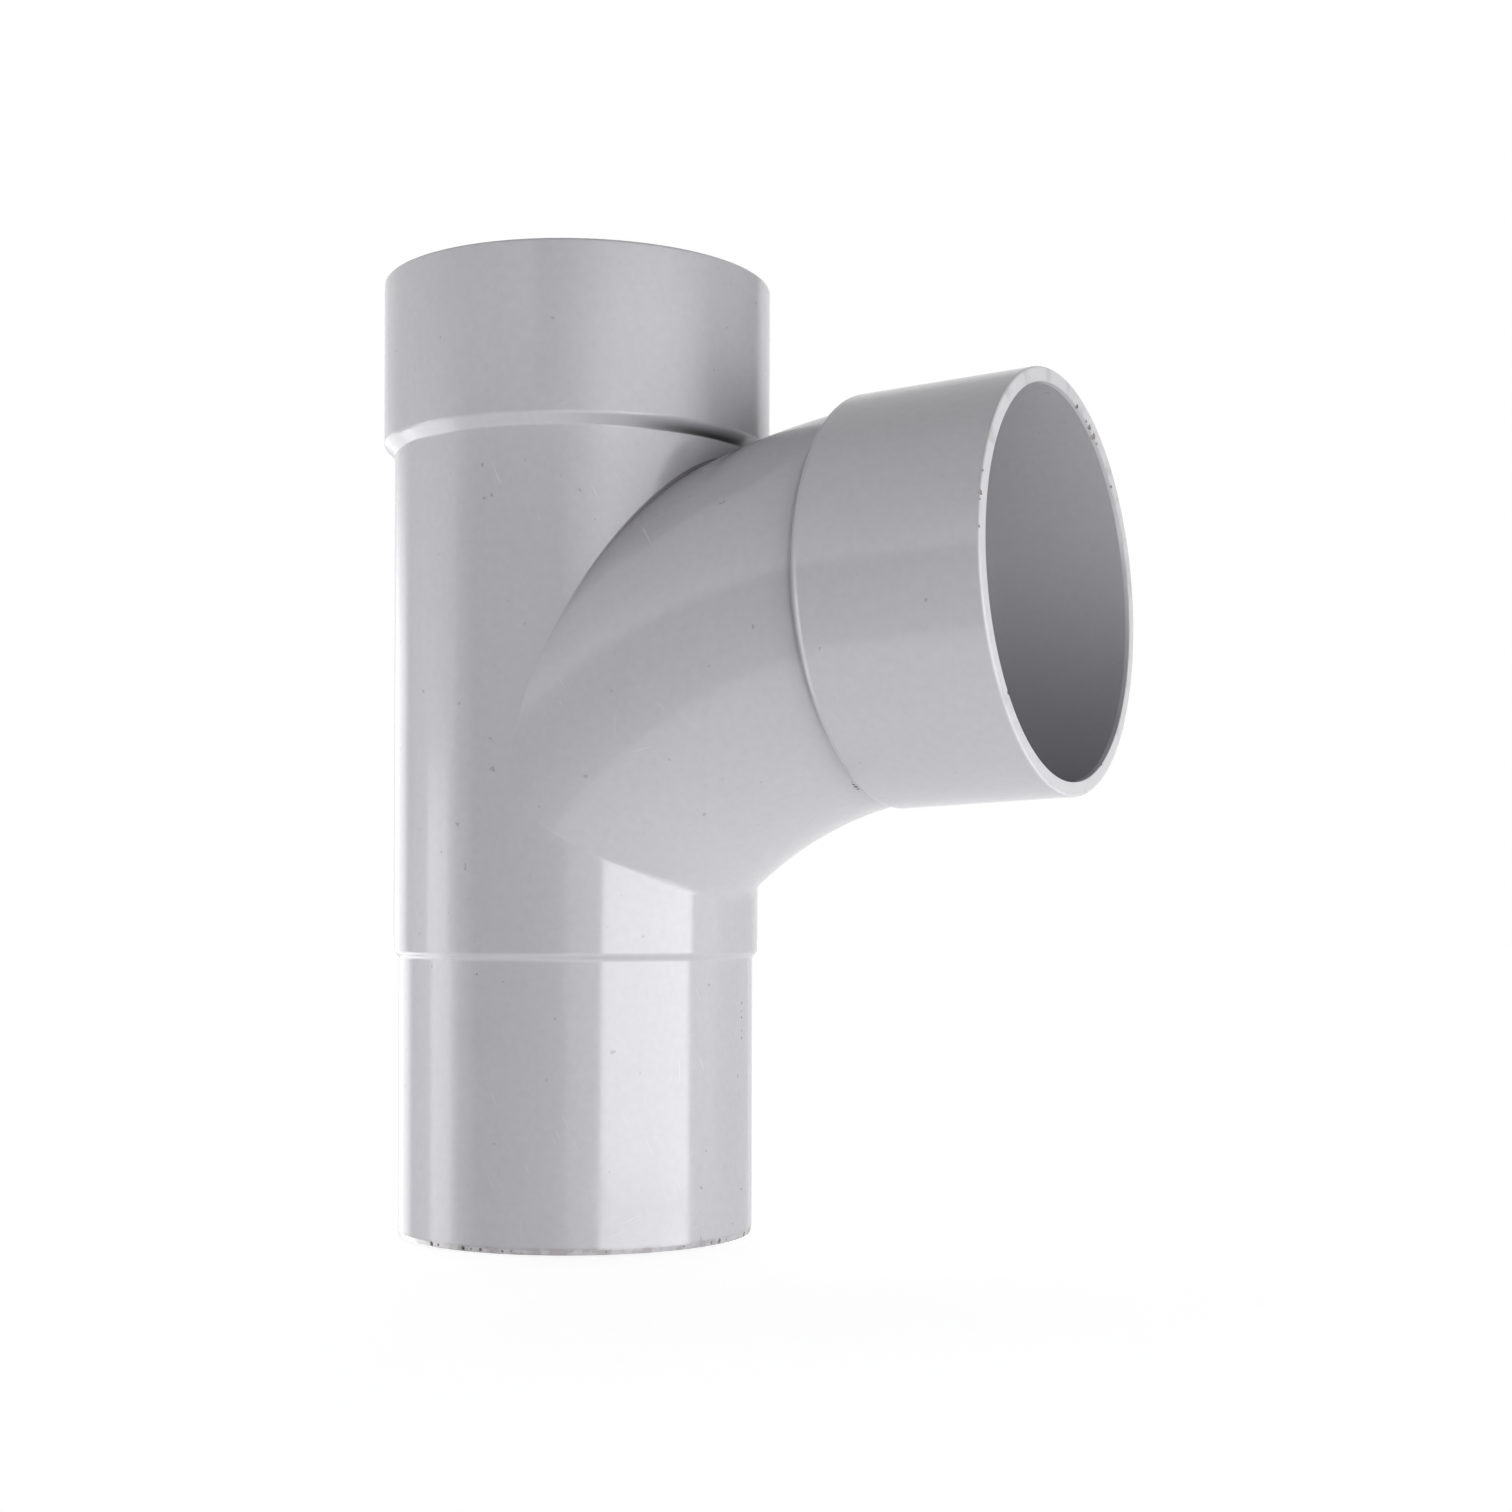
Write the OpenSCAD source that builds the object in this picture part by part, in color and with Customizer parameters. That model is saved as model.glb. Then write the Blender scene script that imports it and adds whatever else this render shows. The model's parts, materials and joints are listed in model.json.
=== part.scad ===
// Swept pipe tee for drainage pipe: a plain spigot below, a socket on top and a socket on
// the swept branch. It is moulded in one piece.
// The origin is the centre of the spigot's end. +Z runs up the main run, and the branch
// leaves towards +X.

/* [Pipes] */
// Outer diameter of the pipes that the tee joins, and of its own spigot
pipe_d = 110; // [75:1:160]
// Radial room between a socket and the pipe in it, filled by the solvent cement
joint_gap = 0.3; // [0.1:0.05:0.6]

/* [Main run] */
// Height of the main run, from the spigot's end to the top mouth
run_h = 292.5; // [270:0.5:340]
// Length of the spigot below the step of the body
spigot_len = 84.5; // [50:0.5:95]
// Wall of the spigot
spigot_wall = 3.3; // [2.4:0.1:4.5]
// How far the body stands proud of the spigot all round
body_proud = 1.5; // [0.8:0.1:3]
// Height of the sloping step between the spigot and the body
step_len = 3.5; // [1:0.5:6]
// Depth that a pipe goes into a socket before it meets the stop
socket_depth = 49; // [40:0.5:49.5]
// Wall of a socket
socket_wall = 4.5; // [3.5:0.1:5.5]
// Outer length of the top socket above its shoulder
run_socket_len = 49.8; // [46:0.1:56]
// Length of the sloping shoulder below a socket
shoulder_len = 3; // [1.5:0.5:6]

/* [Branch] */
// Angle between the main run and the branch
branch_angle = 87.5; // [80:0.5:90]
// Height at which the branch axis crosses the axis of the main run
branch_height = 184.5; // [165:0.5:195]
// Distance from the axis of the main run to the mouth of the branch
branch_reach = 160.8; // [150:0.1:180]
// Outer length of the branch socket beyond its shoulder
branch_socket_len = 53.8; // [50:0.1:60]
// Radius of the bend, along the middle of the branch
sweep_r = 172.6; // [160:0.1:220]
// How far past the shoulder the bend runs out into the axis of the socket
sweep_run_in = 17.9; // [12:0.1:24]
// How much narrower the bend is than the body, on each side
sweep_relief = 1.6; // [0.8:0.1:3]
// How much taller than wide the bend is, above and below its middle
sweep_rise = 2.1; // [1:0.1:3]
// How much narrower the passage in the bend is than the bore of the run, on each side
passage_relief = 0.7; // [0.4:0.1:2]

/* [Edges] */
// Rounding of the outer edge of a mouth
rim_round = 0.8; // [0.3:0.1:1.5]
// Rounding at both ends of a shoulder
shoulder_round = 1.6; // [0.4:0.1:2]
// Widening of a mouth's inner edge, which leads the pipe in
lead_in = 0.4; // [0.2:0.1:1]
// Depth of that widening
lead_len = 1.2; // [0.5:0.1:4]
// How much narrower the spigot's end is, which helps it into a socket
end_taper = 0.4; // [0.2:0.1:1]
// Length of that taper
end_taper_len = 1.5; // [0.5:0.1:4]

/* [Hidden] */
$fn = 128;

// Light grey rigid PVC
pvc_grey = [0.69, 0.69, 0.71];
// Extra length of a cutting solid past the face that it cuts
over = 2;
// How far the foot of the branch's shoulder is buried in the bend
shoulder_root = 1.4;

spigot_r = pipe_d / 2;
body_r = spigot_r + body_proud;
bore_r = spigot_r - spigot_wall;
socket_bore_r = spigot_r + joint_gap;
socket_r = socket_bore_r + socket_wall;
sweep_half_w = body_r - sweep_relief;
passage_half_w = bore_r - passage_relief;
// Rise of a shoulder over its length, which the buried foot keeps
shoulder_slope = (socket_r - body_r) / shoulder_len;
// Distance along the branch at which the bend meets the axis of the socket
sweep_end = branch_reach - branch_socket_len + sweep_run_in;
// Turn of the bend on its way to the axis of the main run
sweep_turn = asin(sweep_end / sweep_r);

// Vector of length 1 along v
function unit(v) = v / norm(v);

// Angle a brought between -180 and 180
function half_turn(a) = a > 180 ? a - 360 : a < -180 ? a + 360 : a;

// The corner p of an outline between the points a and b, rounded to the radius r
function corner(a, p, b, r, steps = 5) =
    r == 0 ? [p] :
    let (to_a = unit(a - p), to_b = unit(b - p), half = acos(to_a * to_b) / 2)
    let (centre = p + unit(to_a + to_b) * r / sin(half))
    let (start = p + to_a * r / tan(half) - centre, end = p + to_b * r / tan(half) - centre)
    let (from = atan2(start.y, start.x), turn = half_turn(atan2(end.y, end.x) - from))
    [for (i = [0 : steps]) centre + r * [cos(from + turn * i / steps), sin(from + turn * i / steps)]];

// An outline from corners given as [x, y, rounding]
function rounded(c) =
    let (n = len(c), p = [for (q = c) [q.x, q.y]])
    [for (i = [0 : n - 1]) each corner(p[(i + n - 1) % n], p[i], p[(i + 1) % n], c[i].z)];

// Outer corners of a socket whose mouth is at the height top
function socket_corners(top, length) = [
    [socket_r, top - length, shoulder_round],
    [socket_r, top, rim_round]
];

// Corners of the space inside the same socket, from the stop that the pipe rests on
function mouth_corners(top) = [
    [socket_bore_r, top - socket_depth, 0],
    [socket_bore_r, top - lead_len, 0],
    [socket_bore_r + lead_in, top, 0],
    [socket_bore_r + lead_in, top + over, 0],
    [0, top + over, 0]
];

// Places its children on the branch: their +Z runs out along it and their +X points down
module along_branch() {
    translate([0, 0, branch_height]) rotate([0, branch_angle, 0]) children();
}

// Spigot, step, body, shoulder and top socket as one turned solid
module run_outside() {
    rotate_extrude()
        polygon(rounded(concat(
            [
                [0, 0, 0],
                [spigot_r - end_taper, 0, 0],
                [spigot_r, end_taper_len, 0],
                [spigot_r, spigot_len, 0],
                [body_r, spigot_len + step_len, step_len / 2],
                [body_r, run_h - run_socket_len - shoulder_len, shoulder_round / 2]
            ],
            socket_corners(run_h, run_socket_len),
            [[0, run_h, 0]]
        )));
}

// Waterway of the main run, which widens at the stop of the top socket
module run_bore() {
    rotate_extrude()
        polygon(rounded(concat(
            [
                [0, -over, 0],
                [bore_r, -over, 0],
                [bore_r, run_h - socket_depth, 0]
            ],
            mouth_corners(run_h)
        )));
}

// The bend, from the axis of the socket back and down to the axis of the main run
module bend(half_w) {
    translate([sweep_r, 0, sweep_end]) rotate([90, 0, 0]) rotate([0, 0, 180])
        rotate_extrude(angle = sweep_turn) translate([sweep_r, 0]) {
            for (side = [-1, 1])
                translate([side * sweep_rise, 0]) circle(r = half_w);
            square([2 * sweep_rise, 2 * half_w], center = true);
        }
}

// Shoulder and socket of the branch, whose foot is buried in the bend
module branch_socket() {
    root_r = sweep_half_w - shoulder_root;
    foot = branch_reach - branch_socket_len - (socket_r - root_r) / shoulder_slope;
    rotate_extrude()
        polygon(rounded(concat(
            [[0, foot, 0], [root_r, foot, 0]],
            socket_corners(branch_reach, branch_socket_len),
            [[0, branch_reach, 0]]
        )));
}

// Waterway of the branch socket, down to the stop
module branch_socket_bore() {
    rotate_extrude()
        polygon(rounded(concat(
            [[0, branch_reach - socket_depth, 0]],
            mouth_corners(branch_reach)
        )));
}

module pipe_tee() {
    color(pvc_grey)
    difference() {
        union() {
            run_outside();
            along_branch() {
                bend(sweep_half_w);
                branch_socket();
            }
        }
        run_bore();
        along_branch() {
            bend(passage_half_w);
            branch_socket_bore();
        }
    }
}

pipe_tee();
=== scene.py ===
# %% [markdown]
# Pipe tee: a swept drain-pipe fitting of light grey PVC.
# The CAD model is loaded first, as a fixed frame. It says where every face of the fitting is.
# This lesson then makes the one thing that the frame lacks: surfaces smooth enough for a gloss
# plastic to mirror a lamp, the soft edges that a mould leaves, and the finish itself.

# %% Load the frame
import json
import math

import bpy
from mathutils import Matrix, Vector


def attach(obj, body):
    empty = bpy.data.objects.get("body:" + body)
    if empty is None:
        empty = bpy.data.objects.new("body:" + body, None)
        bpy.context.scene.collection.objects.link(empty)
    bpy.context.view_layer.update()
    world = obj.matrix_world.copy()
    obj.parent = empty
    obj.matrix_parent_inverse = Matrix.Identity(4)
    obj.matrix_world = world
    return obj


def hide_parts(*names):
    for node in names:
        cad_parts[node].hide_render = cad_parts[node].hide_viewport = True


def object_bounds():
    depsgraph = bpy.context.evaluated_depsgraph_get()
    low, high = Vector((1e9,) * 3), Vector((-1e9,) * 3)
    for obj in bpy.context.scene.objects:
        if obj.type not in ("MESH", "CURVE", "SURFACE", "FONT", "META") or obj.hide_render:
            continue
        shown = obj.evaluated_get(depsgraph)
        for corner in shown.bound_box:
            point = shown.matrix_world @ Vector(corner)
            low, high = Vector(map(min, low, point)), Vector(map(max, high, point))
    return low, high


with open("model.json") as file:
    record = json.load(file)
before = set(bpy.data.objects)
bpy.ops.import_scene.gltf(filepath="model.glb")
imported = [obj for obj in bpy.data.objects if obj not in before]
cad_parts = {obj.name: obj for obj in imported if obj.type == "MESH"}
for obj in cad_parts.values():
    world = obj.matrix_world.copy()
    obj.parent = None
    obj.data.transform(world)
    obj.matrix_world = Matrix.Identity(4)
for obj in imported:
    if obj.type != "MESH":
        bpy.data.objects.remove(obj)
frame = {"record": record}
cad_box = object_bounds()
mounts = {m["name"]: m for m in frame["record"]["mounts"]}
print("CAD box in mm:", [tuple(round(c * 1000, 1) for c in corner) for corner in cad_box])

# %% [markdown]
# The fitting follows a few sizes. The radii of the spigot and the sockets, and the place and
# slope of the branch, come from the frame's mounts. The rest is read off the drawing that the
# CAD model was made from, and repeated here in metres.

# %% Sizes of the fitting
MM = 0.001

spigot_r = mounts["spigot"]["dims"]["r_mm"] * MM
socket_bore_r = mounts["top_socket"]["dims"]["r_mm"] * MM
socket_r = cad_box[1].y
run_h = cad_box[1].z
stop_z = mounts["top_socket"]["pos_m"][2]
socket_depth = run_h - stop_z

spigot_wall = 3.3 * MM
bore_r = spigot_r - spigot_wall
body_proud = 1.5 * MM
body_r = spigot_r + body_proud
spigot_len = 84.5 * MM
run_socket_len = 49.8 * MM
branch_socket_len = 53.8 * MM
shoulder_len = 3 * MM

branch_axis = Vector(mounts["branch_socket"]["axis"])
branch_tilt = math.atan2(branch_axis.z, branch_axis.x)
stop_point = Vector(mounts["branch_socket"]["pos_m"])
branch_stop = stop_point.x / branch_axis.x
branch_height = stop_point.z - branch_stop * branch_axis.z
branch_reach = branch_stop + socket_depth

sweep_r = 172.6 * MM
sweep_run_in = 17.9 * MM
sweep_end = branch_reach - branch_socket_len + sweep_run_in
sweep_turn = math.asin(sweep_end / sweep_r)
sweep_rise = 2.1 * MM
sweep_relief = 1.6 * MM
sweep_half_w = body_r - sweep_relief
passage_relief = 0.7 * MM
passage_half_w = bore_r - passage_relief

rim_round = 0.8 * MM
shoulder_round = 1.6 * MM
lead_in = 0.4 * MM
lead_len = 1.2 * MM
end_taper = 0.4 * MM
end_taper_len = 1.5 * MM
over = 2 * MM

print("branch: height %.1f mm, slope %.2f degrees, reach %.1f mm"
      % (branch_height / MM, math.degrees(branch_tilt), branch_reach / MM))

# %% [markdown]
# A mould is turned and milled, so the fitting's walls are outlines spun round an axis. An
# outline here is a list of corners, and a corner may be rounded. Each arc gets a short
# straight piece on either side of it, because a smooth normal is an average of its
# neighbours: without those two extra points, the long wall beside an arc would shade as if
# it were bent from end to end.

# %% Outlines with rounded corners
ARC_STEPS = 10
HOLD = 0.12 * MM
LONG_SIDE = 4 * HOLD


def rounded(corners):
    """Points of a closed outline. Each corner is (x, y, radius)."""
    points = []
    for i, (x, y, radius) in enumerate(corners):
        p = Vector((x, y))
        if radius == 0:
            points.append(p)
            continue
        before = (Vector(corners[i - 1][:2]) - p).normalized()
        after = (Vector(corners[(i + 1) % len(corners)][:2]) - p).normalized()
        half = before.angle(after) / 2
        centre = p + (before + after).normalized() * radius / math.sin(half)
        reach = radius / math.tan(half)
        start = p + before * reach - centre
        turn = start.angle_signed(p + after * reach - centre)
        points.append(p + before * (reach + HOLD))
        for k in range(ARC_STEPS + 1):
            points.append(centre + Matrix.Rotation(-turn * k / ARC_STEPS, 2) @ start)
        points.append(p + after * (reach + HOLD))
    return points


def held(corners):
    """The same outline with a point close to both ends of each of its sides."""
    points = rounded(corners)
    out = []
    for a, b in zip(points, points[1:] + points[:1]):
        out.append(a)
        if (b - a).length > LONG_SIDE:
            inset = (b - a).normalized() * HOLD
            out += [a + inset, b - inset]
    return out


def outline_object(name, corners):
    """A closed poly curve of (radius, height) corners. A path carries it at the spigot's radius."""
    points = held(corners)
    curve = bpy.data.curves.new(name, "CURVE")
    spline = curve.splines.new("POLY")
    spline.points.add(len(points) - 1)
    for target, p in zip(spline.points, reversed(points)):
        target.co = (p.x - spigot_r, -p.y, 0, 1)
    spline.use_cyclic_u = True
    print(name, "has", len(points), "points")
    return bpy.data.objects.new(name, curve)


# %% [markdown]
# Two outlines add material and two cut the waterway. They stop short of the axis, because an
# outline that touches its axis would leave a knot of points there. The middle is cleared
# later, by the passage of the bend and by a plain rod. The cutting outlines go a little past
# the mouths. The step below the body is two arcs that nearly meet, so its slope swings without
# a break and it mirrors as one thin line. The branch's shoulder is steeper and rounder than the
# one on the run.

# %% The four outlines
HUB_R = 20 * MM
CORE_R = 10 * MM
STEP_FOOT = spigot_len + 0.9 * MM
STEP_TOP = spigot_len + 2.2 * MM
STEP_ROUND = 1.8 * MM
BRANCH_STEEPER = 1.25
BRANCH_SHOULDER_ROUND = 2.6 * MM
CUT_ROUND = 0.1 * MM
STOP_ROUND = 0.2 * MM
LEDGE_ROUND = 0.3 * MM
TAPER_ROUND = 0.4 * MM
LEAD_IN_ROUND = 0.5 * MM
SHOULDER_ROOT = 1.4 * MM

shoulder_slope = BRANCH_STEEPER * (socket_r - body_r) / shoulder_len
root_r = sweep_half_w - SHOULDER_ROOT
shoulder_top = branch_reach - branch_socket_len
shoulder_foot = shoulder_top - (socket_r - root_r) / shoulder_slope


def socket_corners(top, socket_len, round_r):
    """The outside of a socket, from its shoulder to its rim."""
    return [
        (socket_r, top - socket_len, round_r),
        (socket_r, top, rim_round),
        (HUB_R, top, 0),
    ]


def socket_bore_corners(top):
    """The inside of a socket, from the pipe's stop to past its mouth."""
    return [
        (socket_bore_r, top - socket_depth, STOP_ROUND),
        (socket_bore_r, top - lead_len, LEAD_IN_ROUND),
        (socket_bore_r + lead_in * (1 + over / lead_len), top + over, 0),
        (CORE_R, top + over, 0),
    ]


run_outline = outline_object("run outline", [
    (HUB_R, 0, 0),
    (spigot_r - end_taper, 0, CUT_ROUND),
    (spigot_r, end_taper_len, TAPER_ROUND),
    (spigot_r, STEP_FOOT, STEP_ROUND),
    (body_r, STEP_TOP, STEP_ROUND),
    (body_r, run_h - run_socket_len - shoulder_len, shoulder_round / 2),
] + socket_corners(run_h, run_socket_len, shoulder_round))
branch_outline = outline_object("branch outline", [
    (HUB_R, shoulder_foot, 0),
    (root_r, shoulder_foot, 0),
] + socket_corners(branch_reach, branch_socket_len, BRANCH_SHOULDER_ROUND))
run_bore_outline = outline_object("run bore outline", [
    (CORE_R, -over, 0),
    (bore_r, -over, 0),
    (bore_r, stop_z, LEDGE_ROUND),
] + socket_bore_corners(run_h))
branch_bore_outline = outline_object("branch bore outline", [
    (CORE_R, branch_stop, 0),
] + socket_bore_corners(branch_reach))

# %% [markdown]
# Where the bend runs into the body, the mould has a small radius that grows towards the
# throat, the inside of the bend. The blend could be a Bevel modifier, but a bevel of an edge
# that a Boolean left is full of slivers. It is worked out instead, as a toolmaker would
# describe it: a ball rolls along the corner, touching both walls, and the blend is the
# surface that it leaves free.

# %% Blend between the bend and the body
BLEND_STATIONS = 320
BLEND_STEPS = 10
CREASE_R = 0.9 * MM
THROAT_R = 8 * MM
THROAT_REACH = 12
BURIED = 1.5 * MM
HALVINGS = 48

down = Vector((math.sin(branch_tilt), 0, -math.cos(branch_tilt)))
out = Vector((math.cos(branch_tilt), 0, math.sin(branch_tilt)))
crossing = Vector((0, 0, branch_height))
sweep_centre = crossing + down * sweep_r + out * sweep_end
side = Vector((0, 1, 0))


def bend_point(angle, turn, half_w):
    """Point and normal of the bend, at an angle round its section and a turn along its arc."""
    away = -(down * math.cos(turn) + out * math.sin(turn))
    normal = away * math.cos(angle) + side * math.sin(angle)
    rise = math.copysign(sweep_rise, math.cos(angle))
    return sweep_centre + away * (sweep_r + rise) + normal * half_w, normal


def ball_centre(angle, ball_r):
    """Centre of the ball that touches the bend at that angle and the body, by halving."""
    low, high = 0, sweep_turn
    for _ in range(HALVINGS):
        turn = (low + high) / 2
        centre, normal = bend_point(angle, turn, sweep_half_w + ball_r)
        if centre.xy.length > body_r + ball_r:
            low = turn
        else:
            high = turn
    return centre, normal


def blend_ring():
    """A closed ring whose outer face is the blend, with a corner buried in the walls."""
    rings, normals = [], []
    for i in range(BLEND_STATIONS):
        angle = math.tau * i / BLEND_STATIONS
        low_side = (1 - math.cos(angle)) / 2
        ball_r = CREASE_R + (THROAT_R - CREASE_R) * low_side ** THROAT_REACH
        centre, bend_normal = ball_centre(angle, ball_r)
        body_normal = Vector((centre.x, centre.y, 0)).normalized()
        ring, lie = [], []
        for k in range(BLEND_STEPS + 1):
            normal = bend_normal.slerp(body_normal, k / BLEND_STEPS)
            ring.append(centre - normal * ball_r)
            lie.append(normal)
        middle = (bend_normal + body_normal).normalized()
        reach = ball_r / math.cos(bend_normal.angle(body_normal) / 2)
        ring.append(centre - middle * (reach + BURIED))
        lie.append(-middle)
        rings.append(ring)
        normals.append(lie)
    wide = BLEND_STEPS + 2
    faces, lies = [], []
    for i in range(BLEND_STATIONS):
        j = (i + 1) % BLEND_STATIONS
        for k in range(wide):
            m = (k + 1) % wide
            corners = [(i, k), (j, k), (j, m), (i, m)]
            faces.append([a * wide + b for a, b in corners])
            lies += [normals[a][b] for a, b in corners]
    mesh = bpy.data.meshes.new("blend")
    mesh.from_pydata([p for ring in rings for p in ring], [], faces)
    lie_attribute = mesh.attributes.new("lie", "FLOAT_VECTOR", "CORNER")
    for slot, normal in zip(lie_attribute.data, lies):
        slot.vector = normal
    print("blend ring:", len(mesh.polygons), "faces")
    return bpy.data.objects.new("blend", mesh)


blend = blend_ring()

# %% [markdown]
# A fitting that has been handled has chips where an edge met something hard, and small dents.
# They could be scattered at random, but they sit where things knock: along the spigot's end,
# along the rims, beside the branch's shoulder, and in a row where the fitting rubbed against
# another one. So their places are listed here, and a tree further down cuts them. Each row is
# an angle in degrees or a height in millimetres, or both, and then the chip's size in
# millimetres.

# %% Places of chips and dents
RIM_R = socket_bore_r + lead_in
END_HEIGHT = 0.9 * MM
ROW_AZIMUTH = 8.5
ROW_LIFT = 0.15 * MM
DENT_LIFT = 0.25 * MM
SHOULDER_DENT_REACH = shoulder_top - 2.2 * MM
SHOULDER_DENT_R = socket_r - 1.3 * MM


def on_run(azimuth, height, radius):
    """A place on the main run, at an angle from the side of the branch towards +Y."""
    a = math.radians(azimuth)
    return Vector((radius * math.cos(a), radius * math.sin(a), height))


def on_branch(angle, reach, radius):
    """A place on the branch, at an angle from its top towards +Y."""
    a = math.radians(angle)
    return crossing + out * reach - down * radius * math.cos(a) + side * radius * math.sin(a)


END_CHIPS = [
    (-108, 0.8), (-104.7, 0.45), (-94, 0.75), (-91, 0.4), (-87.5, 0.6), (-80, 0.6), (-77, 0.4),
    (-48, 0.3), (-22, 0.4), (-10, 0.7), (-6, 0.8), (-2, 0.5), (12, 0.8), (16, 0.4), (19, 0.9),
    (95, 0.6), (150, 0.8), (154, 0.45), (205, 0.5),
]
RIM_CHIPS = [
    (18, 0.9), (26, 0.5), (29, 1.0), (33, 1.2), (36, 0.6), (52, 0.5), (152, 0.5), (-128, 0.6),
]
OUTER_CHIPS = [(-68, 0.5), (-74, 0.9), (-76, 0.5), (-83, 0.6), (-35, 0.4), (110, 0.5)]
ROW_DENTS = [
    (71.6, 0.45), (69.1, 0.35), (67.3, 0.4), (63.3, 0.35), (61.1, 0.45), (57.1, 0.35), (15, 0.5),
]
SHOULDER_DENTS = [(-155.6, 0.35), (-157.0, 0.5), (-158.4, 0.5), (-159.8, 0.35)]
BODY_DENTS = [
    (-146, 102.5, 0.6), (-147, 98.5, 0.4), (-146, 94, 0.5), (-145, 92, 0.6), (-89, 81, 0.4),
    (-80, 79, 0.35), (-72, 76.5, 0.3), (118, 130, 0.4),
]

chips = [(on_run(a, END_HEIGHT, spigot_r), r) for a, r in END_CHIPS]
chips += [(on_branch(a, branch_reach, RIM_R), r) for a, r in RIM_CHIPS]
chips += [(on_branch(a, branch_reach, socket_r), r) for a, r in OUTER_CHIPS]
chips += [(on_branch(a, SHOULDER_DENT_REACH, SHOULDER_DENT_R), r) for a, r in SHOULDER_DENTS]
chips += [(on_run(ROW_AZIMUTH, z * MM, spigot_r + ROW_LIFT), r) for z, r in ROW_DENTS]
for azimuth, z, r in BODY_DENTS:
    wall_r = spigot_r if z * MM < spigot_len else body_r
    chips.append((on_run(azimuth, z * MM, wall_r + DENT_LIFT), r))

chip_mesh = bpy.data.meshes.new("chip places")
chip_mesh.from_pydata([place for place, _ in chips], [], [])
chip_size = chip_mesh.attributes.new("size", "FLOAT", "POINT")
for slot, (_, size) in zip(chip_size.data, chips):
    slot.value = size * MM
chip_places = bpy.data.objects.new("chip places", chip_mesh)
print(len(chips), "chips and dents")

# %% [markdown]
# Both kinds of node tree, for shapes and for finishes, are written with the same two small
# helpers. One wraps a tree and adds any node by its type, settings and inputs. The other
# wraps a socket, so that sums and products are written as Python writes them.

# %% Helpers for node trees
class Value:
    """A socket with a number, on which Python's operators add Math nodes."""

    def __init__(self, tree, socket):
        self.tree, self.socket = tree, socket

    def math(self, operation, *values):
        """One Math node on these values."""
        return self.tree.add("ShaderNodeMath", {"operation": operation}, dict(enumerate(values)))

    def __add__(self, other):
        return self.math("ADD", self, other)

    def __sub__(self, other):
        return self.math("SUBTRACT", self, other)

    def __mul__(self, other):
        return self.math("MULTIPLY", self, other)

    def __truediv__(self, other):
        return self.math("DIVIDE", self, other)

    def __pow__(self, other):
        return self.math("POWER", self, other)

    def __rsub__(self, other):
        return self.math("SUBTRACT", other, self)

    def __rtruediv__(self, other):
        return self.math("DIVIDE", other, self)

    def __rpow__(self, other):
        return self.math("POWER", other, self)

    __radd__ = __add__
    __rmul__ = __mul__

    def clip(self):
        """The value held between 0 and 1."""
        return self.tree.add("ShaderNodeMath", {"operation": "ADD", "use_clamp": True},
                             {0: self, 1: 0.0})

    def size(self):
        """The value without its sign."""
        return self.math("ABSOLUTE", self)


class Tree:
    """A node tree that is filled by calls to add."""

    def __init__(self, tree):
        self.tree = tree

    def rise(self, value, low, high):
        """0 up to low, 1 from high on, and a smooth step between them."""
        return self.add("ShaderNodeMapRange", {"interpolation_type": "SMOOTHSTEP"},
                        {0: value, 1: low, 2: high, 3: 0.0, 4: 1.0})

    def parts(self, vector):
        """The three numbers of a vector."""
        node = self.add("ShaderNodeSeparateXYZ", {}, {0: vector}).socket.node
        return [Value(self, output) for output in node.outputs]

    def add(self, kind, settings=None, values=None, output=0):
        """Adds a node. A list of values links each of them to one socket."""
        node = self.tree.nodes.new(kind)
        for name, setting in (settings or {}).items():
            setattr(node, name, setting)
        for key, value in (values or {}).items():
            for one in value if isinstance(value, list) else [value]:
                if isinstance(one, Value):
                    self.tree.links.new(one.socket, node.inputs[key])
                else:
                    node.inputs[key].default_value = one
        return Value(self, node.outputs[output]) if len(node.outputs) else node


# %% [markdown]
# The fitting itself is a Geometry Nodes tree. It could be modelled by hand, but its shape
# follows a rule, and a tree is the drawing of the part: its inputs are the sizes, outlines are
# turned into walls, a section is swept along the arc of the bend, all is joined, and the
# waterway is cut. The first small tree turns an outline. The circle lies at the spigot's
# radius and the outline is drawn from there, so the wall comes out at its true radius.

# %% Tree that turns an outline
TURNED_STEPS = 256


def add_input(tree, name, kind, default=None):
    """A named input of a tree, and the identifier that a modifier knows it by."""
    socket = tree.interface.new_socket(name, in_out="INPUT", socket_type=kind)
    if default is not None:
        socket.default_value = default
    return socket.identifier


def new_shape_tree(name, inputs):
    """A Geometry Nodes tree with named inputs, its sockets by name, and their identifiers."""
    group = bpy.data.node_groups.new(name, "GeometryNodeTree")
    group.interface.new_socket("Geometry", in_out="OUTPUT", socket_type="NodeSocketGeometry")
    identifiers = {n: add_input(group, n, kind, default) for n, kind, default in inputs}
    tree = Tree(group)
    source = group.nodes.new("NodeGroupInput")
    sockets = {n: Value(tree, source.outputs[n]) for n, _, _ in inputs}
    return tree, sockets, identifiers


def finish_shape_tree(tree, geometry):
    """Links the tree's result to its output."""
    print("tree", tree.tree.name, "has", len(tree.tree.nodes), "nodes")
    tree.tree.links.new(geometry.socket, tree.tree.nodes.new("NodeGroupOutput").inputs[0])


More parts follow.
